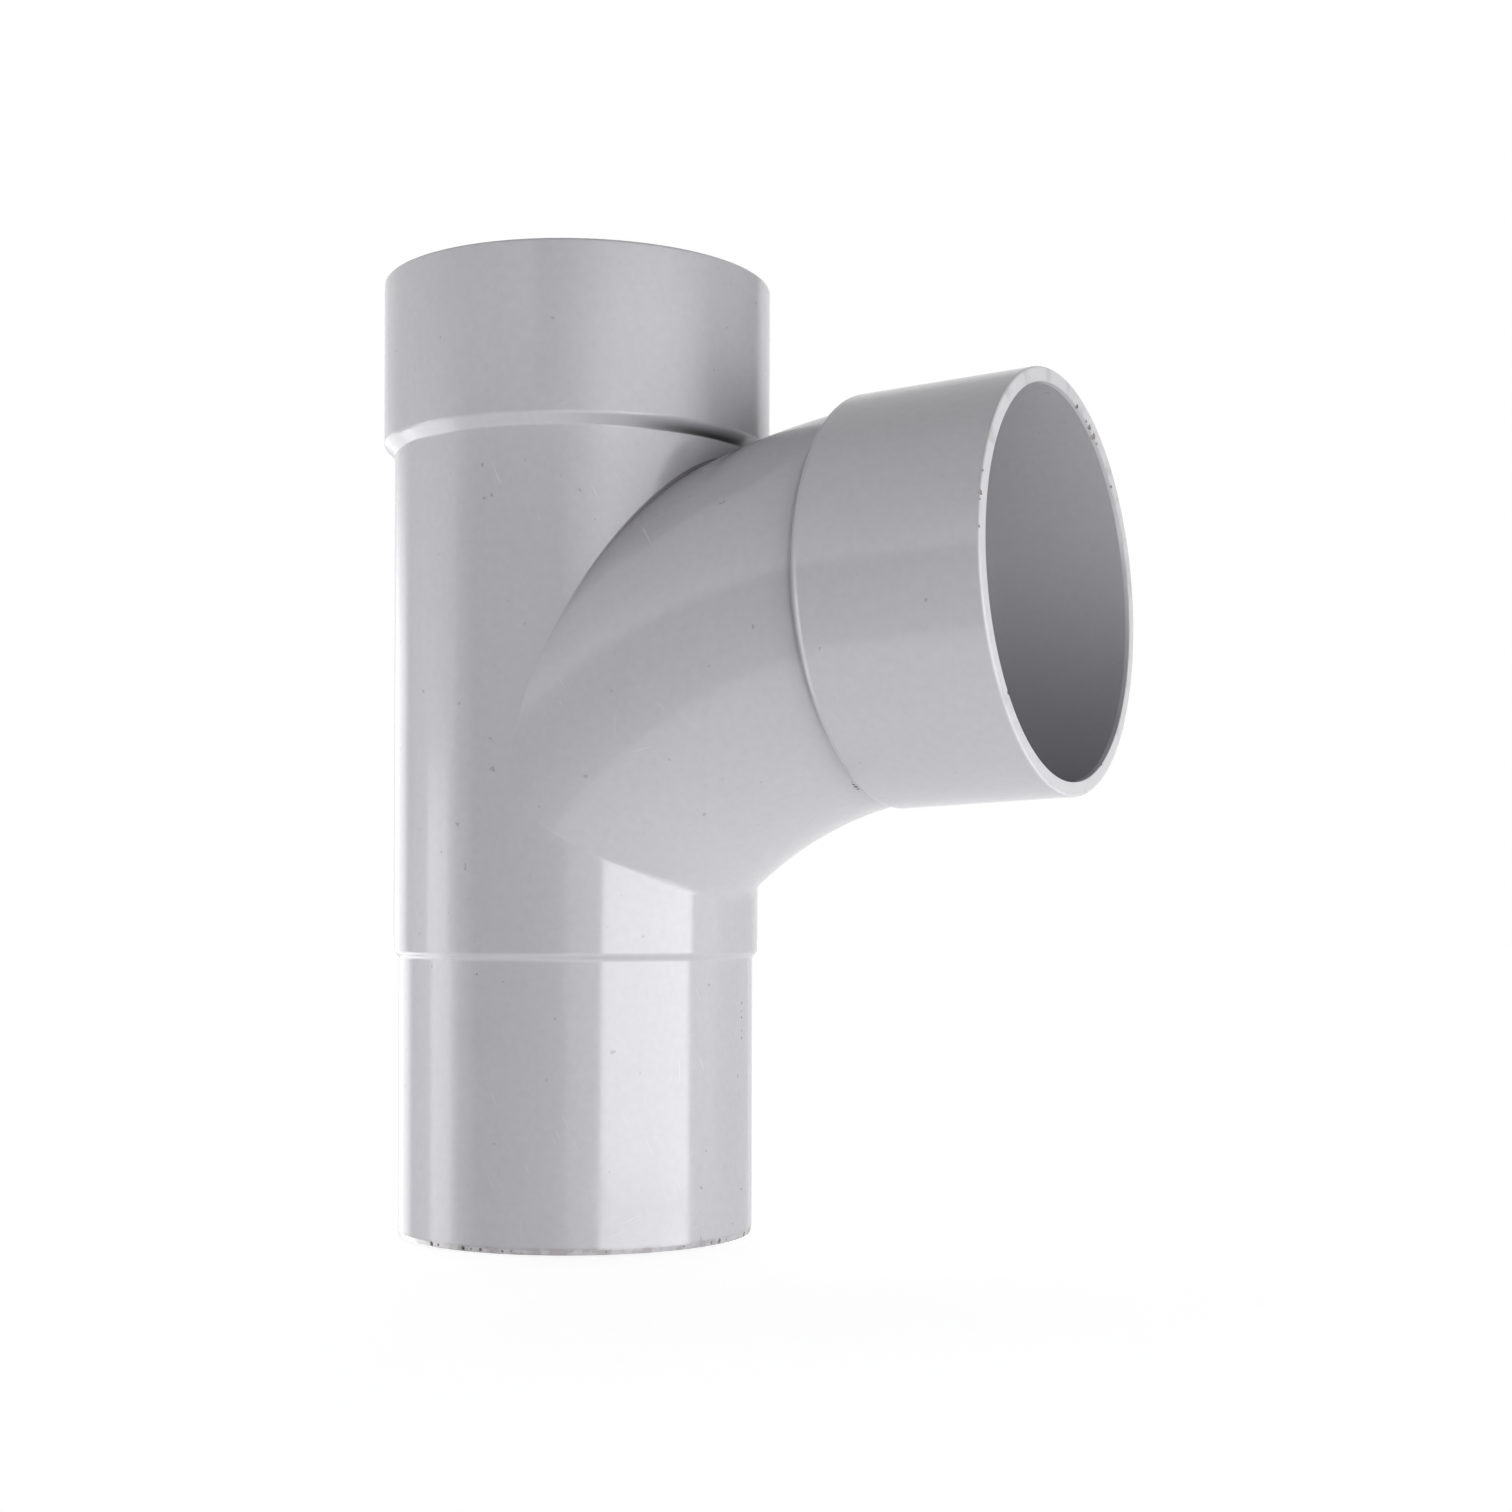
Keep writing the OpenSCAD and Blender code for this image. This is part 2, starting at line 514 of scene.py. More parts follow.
tree, given, _ = new_shape_tree("turned wall", [
    ("Outline", "NodeSocketObject", None),
    ("Axis radius", "NodeSocketFloat", spigot_r),
    ("Steps", "NodeSocketInt", TURNED_STEPS),
])
outline = tree.add("GeometryNodeObjectInfo", {}, {"Object": given["Outline"]}, output="Geometry")
circle = tree.add("GeometryNodeCurvePrimitiveCircle", {},
                  {"Resolution": given["Steps"], "Radius": given["Axis radius"]})
circle = tree.add("GeometryNodeSetCurveNormal", {"mode": "Z_UP"}, {"Curve": circle})
wall = tree.add("GeometryNodeCurveToMesh", {}, {"Curve": circle, "Profile Curve": outline})
finish_shape_tree(tree, wall)
turned_wall = tree.tree

# %% [markdown]
# The bend is a section swept along an arc. The section is a circle pulled apart along its
# middle, because the branch is a little taller than it is wide. The same tree makes the bend's
# outside and the solid that cuts the passage in it.

# %% Tree that sweeps the bend
SWEEP_STEPS = 64
SECTION_STEPS = 224

tree, given, _ = new_shape_tree("swept bend", [
    ("Sweep radius", "NodeSocketFloat", sweep_r),
    ("Sweep end", "NodeSocketFloat", sweep_end),
    ("Half width", "NodeSocketFloat", sweep_half_w),
    ("Rise", "NodeSocketFloat", sweep_rise),
    ("Start", "NodeSocketFloat", 0.0),
    ("Turn", "NodeSocketFloat", sweep_turn),
])
arc = tree.add("GeometryNodeCurveArc", {}, {
    "Resolution": SWEEP_STEPS,
    "Radius": given["Sweep radius"],
    "Start Angle": given["Start"],
    "Sweep Angle": given["Turn"],
})
arc = tree.add("GeometryNodeSetCurveNormal", {"mode": "Z_UP"}, {"Curve": arc})
section = tree.add("GeometryNodeCurvePrimitiveCircle", {},
                   {"Resolution": SECTION_STEPS, "Radius": given["Half width"]})
across, _, _ = tree.parts(tree.add("GeometryNodeInputPosition"))
pulled = tree.add("ShaderNodeCombineXYZ", {}, {"X": across.math("SIGN", across) * given["Rise"]})
section = tree.add("GeometryNodeSetPosition", {}, {"Geometry": section, "Offset": pulled})
bend = tree.add("GeometryNodeCurveToMesh", {},
                {"Curve": arc, "Profile Curve": section, "Fill Caps": True})
place = tree.add("ShaderNodeCombineXYZ", {}, {"X": given["Sweep radius"], "Z": given["Sweep end"]})
bend = tree.add("GeometryNodeTransform", {},
                {"Geometry": bend, "Translation": place, "Rotation": (math.pi / 2, math.pi, 0)})
finish_shape_tree(tree, bend)
swept_bend = tree.tree

# %% [markdown]
# Each solid is set in its place, and then its smooth normals are stored on its corners as an
# attribute named lie. They are stored last, because moving a mesh doesn't turn an attribute.
# A cutting solid stores them turned round, because its surface becomes the wall of a hole.
# Its faces also get a number, so that a face still knows its wall after the cuts.

# %% Tree that places a solid and stores its normals
SHARP = math.radians(14)


def keep_hard(tree, geometry):
    """Marks the hard edges, so that neither the normals nor the renderer smooth across them."""
    hard = tree.add("FunctionNodeCompare", {"data_type": "FLOAT", "operation": "GREATER_THAN"},
                    {0: tree.add("GeometryNodeInputMeshEdgeAngle"), 1: SHARP})
    return tree.add("GeometryNodeSetShadeSmooth", {"domain": "EDGE"},
                    {"Geometry": geometry, "Selection": hard, "Shade Smooth": False})


tree, given, _ = new_shape_tree("placed solid", [
    ("Geometry", "NodeSocketGeometry", None),
    ("Slope", "NodeSocketFloat", 0.0),
    ("Height", "NodeSocketFloat", 0.0),
    ("Outwards", "NodeSocketFloat", 1.0),
    ("Wall", "NodeSocketInt", 0),
])
turned = tree.add("ShaderNodeCombineXYZ", {}, {"Y": given["Slope"]})
lift = tree.add("ShaderNodeCombineXYZ", {}, {"Z": given["Height"]})
solid = tree.add("GeometryNodeTransform", {},
                 {"Geometry": given["Geometry"], "Translation": lift, "Rotation": turned})
solid = keep_hard(tree, solid)
normal = tree.add("ShaderNodeVectorMath", {"operation": "SCALE"},
                  {0: tree.add("GeometryNodeInputNormal"), "Scale": given["Outwards"]})
solid = tree.add("GeometryNodeStoreNamedAttribute", {"data_type": "FLOAT_VECTOR", "domain": "CORNER"},
                 {"Geometry": solid, "Name": "lie", "Value": normal})
solid = tree.add("GeometryNodeStoreNamedAttribute", {"data_type": "INT", "domain": "FACE"},
                 {"Geometry": solid, "Name": "wall", "Value": given["Wall"]})
finish_shape_tree(tree, solid)
placed_solid = tree.tree

# %% [markdown]
# A chip is cut by a pebble: a small ball, dented by noise, squashed and turned at random. One
# pebble is set on every listed place, scaled by the size stored there. The seeds are fixed, so
# the chips are the same each time.

# %% Tree that sets a pebble on every place
CHIP_SEED = 11
SQUASH_LEAST = (0.7, 0.7, 0.7)
SQUASH_MOST = (1.25, 1.25, 1.25)

tree, given, _ = new_shape_tree("pebbles", [
    ("Places", "NodeSocketObject", None),
    ("Dents", "NodeSocketFloat", 0.5),
    ("Seed", "NodeSocketInt", CHIP_SEED),
])
ball = tree.add("GeometryNodeMeshIcoSphere", {}, {"Radius": 1.0, "Subdivisions": 3})
dent = (tree.add("ShaderNodeTexNoise", {}, {"Scale": 1.6}) - 0.5) * given["Dents"]
dent = tree.add("ShaderNodeVectorMath", {"operation": "SCALE"},
                {0: tree.add("GeometryNodeInputNormal"), "Scale": dent})
ball = tree.add("GeometryNodeSetPosition", {}, {"Geometry": ball, "Offset": dent})
places = tree.add("GeometryNodeObjectInfo", {}, {"Object": given["Places"]}, output="Geometry")
size = tree.add("GeometryNodeInputNamedAttribute", {"data_type": "FLOAT"}, {"Name": "size"})
squash = tree.add("FunctionNodeRandomValue", {"data_type": "FLOAT_VECTOR"},
                  {0: SQUASH_LEAST, 1: SQUASH_MOST, "Seed": given["Seed"]})
squash = tree.add("ShaderNodeVectorMath", {"operation": "SCALE"}, {0: squash, "Scale": size})
turn = tree.add("FunctionNodeRandomValue", {"data_type": "FLOAT_VECTOR"},
                {0: (0, 0, 0), 1: (math.tau, math.tau, math.tau), "Seed": given["Seed"] + 1.0})
pebbles = tree.add("GeometryNodeInstanceOnPoints", {},
                   {"Points": places, "Instance": ball, "Rotation": turn, "Scale": squash})
pebbles = tree.add("GeometryNodeRealizeInstances", {}, {"Geometry": pebbles})
finish_shape_tree(tree, pebbles)
pebble_tree = tree.tree

# %% [markdown]
# The whole fitting joins these parts and cuts the waterway. A Boolean leaves thin triangles
# along each seam, and smoothing over them would show as steps in a mirrored lamp. So every
# corner takes its normal from the nearest point of its own wall as it was before the cut.
# The cutting bend goes a little further at both ends, so that no thin skin is left there, and
# a plain rod clears the middle of the run, which the turned outlines don't reach. The walls'
# numbers become three marks for the finish: faces of the blend, the bore and the chips.

# %% Tree of the whole fitting
BRANCH_ANGLE = math.pi / 2 - branch_tilt
PASSAGE_OVERRUN = math.radians(2)
CORE_OVERLAP = 2 * MM
CORE_SIDES = 32


def grouped(tree, group, values):
    """One of the smaller trees, used as a node."""
    return tree.add("GeometryNodeGroup", {"node_tree": group}, values)


tree, given, ids = new_shape_tree("swept tee", [
    ("Run outline", "NodeSocketObject", None),
    ("Run bore outline", "NodeSocketObject", None),
    ("Branch outline", "NodeSocketObject", None),
    ("Branch bore outline", "NodeSocketObject", None),
    ("Blend", "NodeSocketObject", None),
    ("Chip places", "NodeSocketObject", None),
    ("Branch height", "NodeSocketFloat", branch_height),
    ("Branch angle", "NodeSocketFloat", BRANCH_ANGLE),
    ("Sweep half width", "NodeSocketFloat", sweep_half_w),
    ("Passage half width", "NodeSocketFloat", passage_half_w),
    ("Sweep turn", "NodeSocketFloat", sweep_turn),
    ("Passage overrun", "NodeSocketFloat", PASSAGE_OVERRUN),
    ("Core radius", "NodeSocketFloat", CORE_R + CORE_OVERLAP),
    ("Core length", "NodeSocketFloat", 2 * (run_h + over)),
    ("Material", "NodeSocketMaterial", None),
])
walls = []


def placed(mesh, outwards, on_branch):
    """A solid in its place. It gets the next wall number, and the blend keeps the number 0."""
    values = {"Geometry": mesh, "Outwards": outwards, "Wall": len(walls) + 1}
    if on_branch:
        values |= {"Slope": given["Branch angle"], "Height": given["Branch height"]}
    walls.append(grouped(tree, placed_solid, values))
    return walls[-1]


def turned_outline(name):
    """The wall that the outline of that name makes."""
    return grouped(tree, turned_wall, {"Outline": given[name]})


bend = grouped(tree, swept_bend, {"Half width": given["Sweep half width"], "Turn": given["Sweep turn"]})
passage = grouped(tree, swept_bend, {
    "Half width": given["Passage half width"],
    "Start": given["Passage overrun"] * -1.0,
    "Turn": given["Sweep turn"] + given["Passage overrun"] * 2.0,
})
core = tree.add("GeometryNodeMeshCylinder", {}, {
    "Vertices": CORE_SIDES,
    "Radius": given["Core radius"],
    "Depth": given["Core length"],
})
blend_info = tree.add("GeometryNodeObjectInfo", {}, {"Object": given["Blend"]}, output="Geometry")
joined = tree.add("GeometryNodeMeshBoolean", {"operation": "UNION", "solver": "MANIFOLD"}, {"Mesh 2": [
    placed(turned_outline("Run outline"), 1.0, False),
    placed(turned_outline("Branch outline"), 1.0, True),
    placed(bend, 1.0, True),
    blend_info,
]})
fitting = tree.add("GeometryNodeMeshBoolean", {"operation": "DIFFERENCE", "solver": "MANIFOLD"}, {
    "Mesh 1": joined,
    "Mesh 2": [
        placed(turned_outline("Run bore outline"), -1.0, False),
        placed(turned_outline("Branch bore outline"), -1.0, True),
        placed(passage, -1.0, True),
        placed(grouped(tree, pebble_tree, {"Places": given["Chip places"]}), -1.0, False),
        placed(core, -1.0, False),
    ],
})
uncut = tree.add("GeometryNodeJoinGeometry", {}, {"Geometry": walls + [blend_info]})
lie = tree.add("GeometryNodeInputNamedAttribute", {"data_type": "FLOAT_VECTOR"}, {"Name": "lie"})
wall = tree.add("GeometryNodeInputNamedAttribute", {"data_type": "INT"}, {"Name": "wall"})
normal = tree.add("GeometryNodeSampleNearestSurface", {"data_type": "FLOAT_VECTOR"},
                  {"Mesh": uncut, "Value": lie, "Group ID": wall, "Sample Group ID": wall})
fitting = tree.add("GeometryNodeSetMeshNormal", {"mode": "FREE", "domain": "CORNER"},
                   {"Mesh": keep_hard(tree, fitting), "Custom Normal": normal})
FACE_MARKS = [("blend_face", 0, 0), ("bore_face", 4, 6), ("chip_face", 7, 7)]
for name, first, last in FACE_MARKS:
    is_one = (wall.math("GREATER_THAN", wall, first - 0.5)
              * wall.math("LESS_THAN", wall, last + 0.5))
    fitting = tree.add("GeometryNodeStoreNamedAttribute", {"data_type": "FLOAT", "domain": "FACE"},
                       {"Geometry": fitting, "Name": name, "Value": is_one})
for name in ("lie", "wall", "size"):
    fitting = tree.add("GeometryNodeRemoveAttribute", {}, {"Geometry": fitting, "Name": name})
fitting = tree.add("GeometryNodeRealizeInstances", {}, {"Geometry": fitting})
fitting = tree.add("GeometryNodeSetMaterial", {}, {"Geometry": fitting, "Material": given["Material"]})
finish_shape_tree(tree, fitting)
swept_tee = tree.tree

# %% [markdown]
# The tree works as a modifier on an empty holder. Its objects and its material are set by the
# sockets' identifiers before it is first worked out. The result is copied to a plain mesh, and
# the holder goes, so that what is left is one closed moulding and nothing else.

# %% Make the fitting
pvc = bpy.data.materials.new("rigid_pvc")
holder = bpy.data.objects.new("tee holder", bpy.data.meshes.new("tee holder"))
bpy.context.scene.collection.objects.link(holder)
modifier = holder.modifiers.new("swept tee", "NODES")
modifier.node_group = swept_tee
for name, value in {
    "Run outline": run_outline,
    "Run bore outline": run_bore_outline,
    "Branch outline": branch_outline,
    "Branch bore outline": branch_bore_outline,
    "Blend": blend,
    "Chip places": chip_places,
    "Material": pvc,
}.items():
    modifier[ids[name]] = value

evaluated = holder.evaluated_get(bpy.context.evaluated_depsgraph_get())
mesh = bpy.data.meshes.new_from_object(evaluated)
mesh.name = "fitting"
fitting = bpy.data.objects.new("fitting", mesh)
bpy.context.scene.collection.objects.link(fitting)
holder.modifiers.remove(modifier)
bpy.data.objects.remove(holder)
triangles = sum(len(p.vertices) - 2 for p in mesh.polygons)
print("fitting:", len(mesh.vertices), "points,", triangles, "triangles")

# %% [markdown]
# The record calls this finish a glossy light grey PVC. The colour is mixed into the plastic, so
# it's the same all through, apart from a cloudy tone where the melt mixed unevenly. Patterns
# here follow Object coordinates, which are metres in the frame, so a scale of 18 repeats about
# every 55 mm, and one of 430 about every 2.3 mm. Close up, the tone is mottled, and here and
# there is a dark speck of older material. A picture could carry all this, but noise has no
# seams and stays sharp close up.

# %% Tone of the plastic
class Finish(Tree):
    """The nodes of a material, with its own Principled shader ready."""

    def __init__(self, material):
        material.use_nodes = True
        super().__init__(material.node_tree)
        self.shader = self.tree.nodes["Principled BSDF"]
        self.place = self.add("ShaderNodeTexCoord", output="Object")

    def noise(self, scale, detail=2.0, place=None):
        """Smooth noise that repeats so many times a metre, between 0 and 1."""
        return self.add("ShaderNodeTexNoise", {},
                        {"Vector": place or self.place, "Scale": scale, "Detail": detail})

    def coat(self, colour, mask, layer):
        """A layer of another colour, laid on where the mask is 1."""
        return self.add("ShaderNodeMix", {"data_type": "RGBA"}, {0: mask, 6: colour, 7: layer}, output=2)

    def shade(self, **sockets):
        """Sets or links the shader's sockets."""
        for name, value in sockets.items():
            key = name.replace("_", " ")
            if isinstance(value, Value):
                self.tree.links.new(value.socket, self.shader.inputs[key])
            else:
                self.shader.inputs[key].default_value = value


PVC_GREY = (0.400, 0.394, 0.421, 1)
PVC_PALE = (0.484, 0.478, 0.507, 1)
PVC_SPECK = (0.27, 0.26, 0.26, 1)
SPECK_SHARE = 0.6

finish = Finish(pvc)
cloud = finish.noise(18.0, 4.0)
mottle = finish.noise(430.0, 3.0)
colour = finish.coat(PVC_GREY, cloud * 0.4 + mottle * 0.6, PVC_PALE)
speck = finish.rise(finish.noise(330.0, 1.0), 0.76, 0.80)
colour = finish.coat(colour, speck * SPECK_SHARE, PVC_SPECK)
print("nodes in the tone:", len(pvc.node_tree.nodes))

# %% [markdown]
# Handling leaves hairline scratches and rubbed patches. A scratch could be a curve, but there
# are many, so it is a noise that is stretched a long way in one direction, and only thin
# streaks of it reach above a level. To lie in the surface, they are drawn on the fitting as if
# it were unrolled: one number goes round the main run, and the other up it. They come in
# patches, where hands and boxes touched, and stay out of the bore, which nothing rubs.

# %% Scratches and rubbed patches
def face_mark(name):
    """1 on the faces that the tree marked so."""
    return finish.add("ShaderNodeAttribute", {"attribute_name": name}, output="Fac")


x, y, z = finish.parts(finish.place)
bore = face_mark("bore_face")
round_run = y.math("ARCTAN2", y, x) * body_r


def scratches(across, along, lean, level):
    """Streaks that lean from upright. Across and along say how often they repeat per metre."""
    u = round_run * math.cos(lean) + z * math.sin(lean)
    v = z * math.cos(lean) - round_run * math.sin(lean)
    unrolled = finish.add("ShaderNodeCombineXYZ", {}, {0: u * across, 1: v * along})
    return finish.rise(finish.noise(1.0, 1.0, unrolled), level, level + 0.06)


SCRATCH_PALE = (0.60, 0.60, 0.62, 1)
SCRATCH_SHARE = 0.08

handled = finish.rise(finish.noise(15.0, 3.0), 0.48, 0.62)
scratch = ((scratches(900.0, 30.0, 0.0, 0.72) + scratches(800.0, 60.0, 0.45, 0.71)
            + scratches(1000.0, 45.0, -1.2, 0.73)) * handled).clip() * (1 - bore)
colour = finish.coat(colour, scratch * SCRATCH_SHARE, SCRATCH_PALE)
rubbed = finish.rise(finish.noise(31.0, 5.0), 0.56, 0.70) * (1 - bore)

# %% [markdown]
# The rim of a socket is a matt, slightly paler face, because it is trimmed after moulding, and
# handling leaves faint grey blots on it. The mask is the distance along the main run or along
# the branch.

# %% Trimmed rims
RIM_PALE = (0.565, 0.563, 0.58, 1)
RIM_BLOT = (0.40, 0.39, 0.39, 1)
RIM_FROM = 0.45 * MM
RIM_TO = 0.1 * MM

along_branch = x * math.cos(branch_tilt) + (z - branch_height) * math.sin(branch_tilt)
rim = (finish.rise(along_branch, branch_reach - RIM_FROM, branch_reach - RIM_TO)
       + finish.rise(z, run_h - RIM_FROM, run_h - RIM_TO)).clip()
colour = finish.coat(colour, rim, RIM_PALE)
rim_blots = finish.rise(finish.noise(150.0, 4.0), 0.50, 0.68)
colour = finish.coat(colour, rim * rim_blots * 0.5, RIM_BLOT)

# %% [markdown]
# Shade is painted into the colour where little light reaches: the narrow corner between the top
# socket and the branch is darkened nearly to black, and the crease of the bend, the groove at the
# branch's shoulder and the lower part of the branch's bore are painted darker. Real grime sits on
# the spigot's end and in the chips. Occlusion could find such corners, but their places are known,
# so each mask is the distance from its place.

# %% Painted shade in corners and the bore, grime on the end and in chips
SHADE_BLACK = (0.05, 0.05, 0.05, 1)
CREASE_SHADE_GREY = (0.19, 0.18, 0.19, 1)
SHADE_GREY = (0.20, 0.195, 0.205, 1)
GRIME_BROWN = (0.21, 0.19, 0.17, 1)
CHIP_BROWN = (0.15, 0.13, 0.115, 1)
CREASE_FROM = 160 * MM
CREASE_TO = 240 * MM
END_GRIME_TOP = 2.6 * MM
BORE_SHADE_TOP = branch_height + 38 * MM
BORE_SHADE_FADE = 78 * MM
BORE_SHADE_FROM = 80 * MM
BORE_SHADE_TO = 120 * MM
GROOVE_HALF_W = 1.4 * MM

blotch = finish.noise(260.0, 4.0)

# Painted shade: the narrow corner under the top socket's shoulder, over the branch, is darkened nearly
# to black.
shoulder_z = run_h - run_socket_len
beside_run = finish.rise(socket_r + 3 * MM - (x * x + y * y) ** 0.5, 0.0, 1.5 * MM)
under_socket = finish.rise(shoulder_z + 0.3 * MM - z, 0.0, shoulder_len) * finish.rise(
    z, shoulder_z - shoulder_len - 0.5 * MM, shoulder_z - shoulder_len)
over_branch = finish.rise(x, 0.7 * body_r, 1.0 * body_r)
corner = under_socket * beside_run * over_branch * (1 - bore)
colour = finish.coat(colour, corner, SHADE_BLACK)

# Painted shade: the blend along the crease of the bend is darkened, from 160 mm up.
crease = face_mark("blend_face") * finish.rise(z, CREASE_FROM, CREASE_TO)
colour = finish.coat(colour, crease * 0.8, CREASE_SHADE_GREY)

spigot_end = (finish.rise(END_GRIME_TOP - z, 0.0, END_GRIME_TOP / 2)
              * (0.35 + finish.rise(blotch, 0.45, 0.58) * 0.65))
colour = finish.coat(colour, spigot_end * 0.55, GRIME_BROWN)

# Painted shade: the branch's bore is darker towards its bottom, from 80 mm out towards its mouth.
bore_shade = bore * finish.rise(x, BORE_SHADE_FROM, BORE_SHADE_TO) * finish.rise(BORE_SHADE_TOP - z, 0.0, BORE_SHADE_FADE)
colour = finish.coat(colour, bore_shade * 0.65, SHADE_GREY)

# Painted shade: a darker line in the groove at the foot of the branch's shoulder, in the same grey as
# the bore's painted shade.
across_branch = (z - branch_height) * math.cos(branch_tilt) - x * math.sin(branch_tilt)
off_axis = (y * y + across_branch ** 2.0) ** 0.5
shoulder_line = shoulder_top - (socket_r - off_axis) / shoulder_slope
groove = (finish.rise(GROOVE_HALF_W - (along_branch - shoulder_line).size(), 0.0, GROOVE_HALF_W)
          * finish.rise(socket_r - 1.8 * MM - off_axis, 0.0, 1.6 * MM)
          * (1 - bore))
colour = finish.coat(colour, groove * 0.5, SHADE_GREY)

chip = face_mark("chip_face")
colour = finish.coat(colour, chip * (0.25 + blotch * 0.8).clip(), CHIP_BROWN)

# %% [markdown]
# The height of the surface is written in metres, so that each mark has its real depth: a slow
# ripple from the mould's polishing, a fine grain, scratches two thousandths of a millimetre
# deep, the roughness of the rims, and the parting line, where the two halves of the mould met.

# %% Height and gloss of the surface
MICRON = 1e-6
PARTING_HALF_W = 0.45 * MM

parting = finish.rise(PARTING_HALF_W - y.size(), 0.0, PARTING_HALF_W) * (1 - bore)
height = ((finish.noise(34.0, 1.0) - 0.5) * (70 * MICRON)
          + mottle * (4 * MICRON)
          - scratch * (2 * MICRON)
          + parting * (9 * MICRON)
          + rim * finish.noise(1500.0) * (12 * MICRON))
bump = finish.add("ShaderNodeBump", {}, {"Height": height, "Distance": 1.0, "Strength": 1.0})
roughness = (0.12 + cloud * 0.04 + rubbed * 0.07 + scratch * 0.2
             + rim * 0.3 + bore * 0.08 + chip * 0.5).clip()
finish.shade(Base_Color=colour, Roughness=roughness, Normal=bump, IOR=1.53)
print("nodes in the finish:", len(pvc.node_tree.nodes))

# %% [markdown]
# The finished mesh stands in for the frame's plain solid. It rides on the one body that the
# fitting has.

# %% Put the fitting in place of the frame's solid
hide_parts("pipe_tee")
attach(fitting, "root")

# %% [markdown]
# The photograph was taken from the side of the branch, with the lens just above the step of the
# body and dead level. The picture is shifted up to frame the whole fitting, so that the walls
# stay upright as an architect's camera keeps them.

# %% Camera
CAMERA_AT = Vector((390.1, -605.6, 100.3)) * MM
CAMERA_TURN = math.radians(28.33)
CAMERA_ROLL = math.radians(0.18)
CAMERA_LENS = 54.74
CAMERA_SHIFT = 0.1011

camera_data = bpy.data.cameras.new("camera")
camera_data.lens = CAMERA_LENS
camera_data.shift_y = CAMERA_SHIFT
camera = bpy.data.objects.new("camera", camera_data)
camera.matrix_world = (Matrix.Translation(CAMERA_AT)
                       @ Matrix.Rotation(CAMERA_TURN, 4, "Z")
                       @ Matrix.Rotation(math.pi / 2, 4, "X")
                       @ Matrix.Rotation(CAMERA_ROLL, 4, "Z"))
bpy.context.scene.collection.objects.link(camera)
bpy.context.scene.camera = camera
print("camera: %.0f mm from the axis of the run, %.0f mm up"
      % (CAMERA_AT.xy.length / MM, CAMERA_AT.z / MM))

# %% [markdown]
# A gloss surface shows whatever stands round it, so a studio for gloss is built from what is
# to be mirrored. Every lamp and board here hangs on a circle round the fitting and faces it. A
# place is given as two angles: round the main run from the side of the branch, and up from
# the level.

# %% Places round the fitting
STUDIO_CENTRE = Vector((20, 0, 150)) * MM
STUDIO_R = 1.3


def studio_place(azimuth, elevation, distance):
    """Where a lamp hangs that faces the fitting, with its width level."""
    a, e = math.radians(azimuth), math.radians(elevation)
    direction = Vector((math.cos(a) * math.cos(e), math.sin(a) * math.cos(e), math.sin(e)))
    turn = direction.to_track_quat("Z", "Y").to_matrix().to_4x4()
    return Matrix.Translation(STUDIO_CENTRE + direction * distance) @ turn


def span(half_angle, distance):
    """The full width that is seen under twice the half angle."""
    return 2 * distance * math.tan(math.radians(half_angle))


# %% [markdown]
# The upright stripe with clean edges on the spigot is the mirror image of the main soft box. An
# area lamp has such edges. Its power is worked out from the brightness that its face should
# show, so that it can be compared with the white of the background, which is 1. All light here
# is white, so the plastic alone brings the colour.

# %% Main soft box
def soft_box(name, azimuth, elevation, half_width, half_height, glow):
    """An area lamp. All its sizes are angles in degrees, as seen from the fitting."""
    lamp_data = bpy.data.lights.new(name, "AREA")
    lamp_data.shape = "RECTANGLE"
    lamp_data.size = span(half_width, STUDIO_R)
    lamp_data.size_y = span(half_height, STUDIO_R)
    lamp_data.energy = glow * math.pi * lamp_data.size * lamp_data.size_y
    lamp = bpy.data.objects.new(name, lamp_data)
    lamp.matrix_world = studio_place(azimuth, elevation, STUDIO_R)
    lamp.visible_camera = False
    bpy.context.scene.collection.objects.link(lamp)
    print("%s: %.0f by %.0f mm" % (name, lamp_data.size / MM, lamp_data.size_y / MM))
    return lamp


studio = [soft_box("main soft box", -12.2, -8.2, 30.3, 10.3, 5.83)]

# %% [markdown]
# The other mirrored shapes have soft edges. They come from sheets of diffusing cloth, which glow
# where a lamp shines on them, and from black cloth, which keeps light away. Both are one kind of
# board here: a plane that adds a glow and hides what is behind it, with both fading out
# towards its edges. Each row of the list gives a name, the two angles of the place, half the
# width and half the height as angles, the share that fades, the glow, and the share of what is
# behind that the board hides.

# %% Boards with soft edges
def rectangle(name, width, height):
    """A flat mesh round its own middle."""
    corners = [(x * width / 2, y * height / 2, 0) for x, y in ((-1, -1), (1, -1), (1, 1), (-1, 1))]
    mesh = bpy.data.meshes.new(name)
    mesh.from_pydata(corners, [], [(0, 1, 2, 3)])
    return mesh


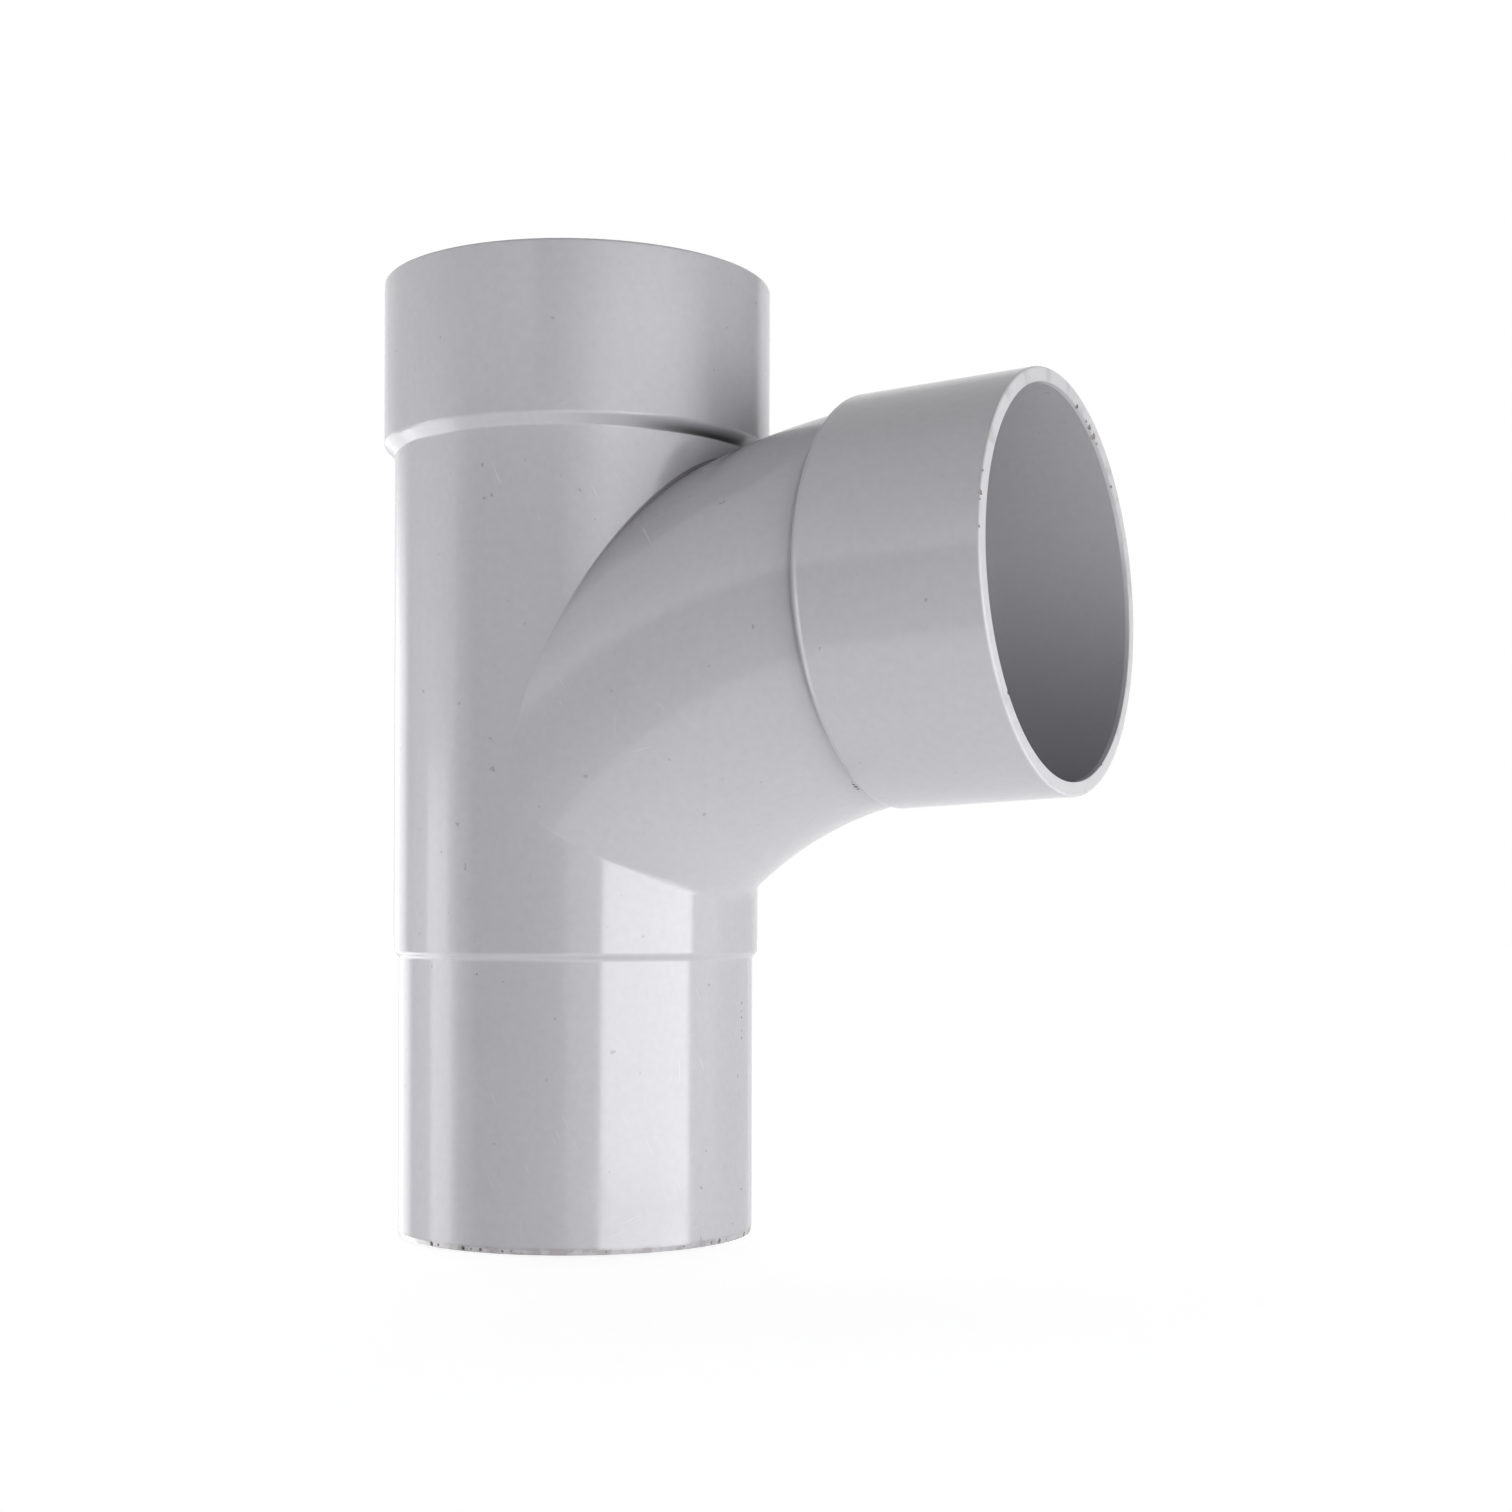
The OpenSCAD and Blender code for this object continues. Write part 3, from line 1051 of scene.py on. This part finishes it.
def board(name, azimuth, elevation, half_width, half_height, soft, glow, cover):
    """A stage plane. Soft is the share of each half side over which it fades out."""
    width, height = span(half_width, STUDIO_R), span(half_height, STUDIO_R)
    mesh = rectangle(name, width, height)
    cloth = bpy.data.materials.new(name)
    cloth.use_nodes = True
    cloth.node_tree.nodes.clear()
    tree = Tree(cloth.node_tree)
    place = tree.add("ShaderNodeTexCoord", output="Object")
    x, y, _ = tree.parts(place)
    mask = (tree.rise(width / 2 - x.size(), 0.0, width / 2 * soft)
            * tree.rise(height / 2 - y.size(), 0.0, height / 2 * soft))
    behind = 1 - mask * cover
    behind = tree.add("ShaderNodeCombineColor", {}, {0: behind, 1: behind, 2: behind})
    through = tree.add("ShaderNodeBsdfTransparent", {}, {0: behind})
    shine = tree.add("ShaderNodeEmission", {}, {"Strength": mask * glow})
    both = tree.add("ShaderNodeAddShader", {}, {0: through, 1: shine})
    tree.add("ShaderNodeOutputMaterial", {}, {"Surface": both})
    mesh.materials.append(cloth)
    plane = bpy.data.objects.new(name, mesh)
    plane.matrix_world = studio_place(azimuth, elevation, STUDIO_R)
    plane.visible_camera = False
    bpy.context.scene.collection.objects.link(plane)
    return plane


BOARDS = [
    ("black cloth in front", -101, -5, 38, 22, 0.12, 0.0, 1.0),
    ("black cloth above", -20, 60, 62, 38, 0.12, 0.0, 1.0),
    ("grey cloth over the back", 120, 62, 50, 24, 0.25, 0.85, 1.0),
    ("black cloth high on the right", 50, 17, 30, 12, 0.35, 0.0, 1.0),
    ("grey cloth low on the right", 72, -8, 22, 13, 0.4, 0.8, 1.0),
    ("glow beside the soft box", 30, -6, 16, 12, 0.6, 0.66, 0.0),
    ("glow round the soft box", -45, -3, 40, 22, 1.0, 0.34, 0.0),
    ("glow above the soft box", -20, 13, 42, 11, 0.7, 2.38, 0.0),
    ("glow below the soft box", -30, -32, 55, 15, 0.7, 2.41, 0.0),
    ("left soft box", -152, -7, 11.5, 12, 0.35, 1.92, 0.0),
    ("glow round the left soft box", -150, -5, 40, 35, 1.0, 1.74, 0.0),
    ("glow low on the left", -175, -32, 28, 18, 0.6, 2.6, 0.0),
    ("glow behind on the left", 158, -8, 18, 25, 0.5, 1.35, 0.0),
]
studio += [board(*row) for row in BOARDS]
print("lamps and boards round the fitting:", len(studio))

# %% [markdown]
# The floor is pale and plain, and so is the background. The camera and mirrored rays see
# white there, while the light that falls on the fitting is plainer. The floor itself stays out
# of the mirrored picture, because the white beyond it stands for both.

# %% Floor and background
WORLD_LIGHT = 0.68
FLOOR_LIGHT = 0.71
FLOOR_SEEN = 0.59
FLOOR_SIDE = 12.0


def grey(level):
    """A grey as a colour."""
    return level, level, level, 1


def light_path_mix(tree, seen, unseen):
    """One colour for rays from the camera and from mirrors or glass, another for the rest."""
    path = tree.tree.nodes.new("ShaderNodeLightPath")
    camera_ray, mirrored_ray, refracted_ray = (
        Value(tree, path.outputs[name])
        for name in ("Is Camera Ray", "Is Glossy Ray", "Is Transmission Ray"))
    direct = (camera_ray + mirrored_ray + refracted_ray).clip()
    return tree.add("ShaderNodeMix", {"data_type": "RGBA"},
                    {0: direct, 6: unseen, 7: seen}, output=2)


world = bpy.data.worlds.new("studio")
bpy.context.scene.world = world
world.use_nodes = True
sky = Tree(world.node_tree)
background = world.node_tree.nodes["Background"]
light = light_path_mix(sky, grey(1), grey(WORLD_LIGHT))
world.node_tree.links.new(light.socket, background.inputs["Color"])

floor_mesh = rectangle("floor", FLOOR_SIDE, FLOOR_SIDE)
floor = bpy.data.objects.new("floor", floor_mesh)
bpy.context.scene.collection.objects.link(floor)
floor.visible_glossy = False
paper = bpy.data.materials.new("floor")
floor_mesh.materials.append(paper)
paper_tree = Finish(paper)
glow = light_path_mix(paper_tree, grey(FLOOR_SEEN), grey(FLOOR_LIGHT))
paper_tree.shade(Base_Color=grey(0.8), Roughness=0.9, Emission_Color=glow, Emission_Strength=1.0)
print("floor: %.0f m square" % FLOOR_SIDE)

# %% [markdown]
# The picture is shown without a film curve, so that a colour renders about as it is written.

# %% Look settings
bpy.context.scene.view_settings.view_transform = "Standard"
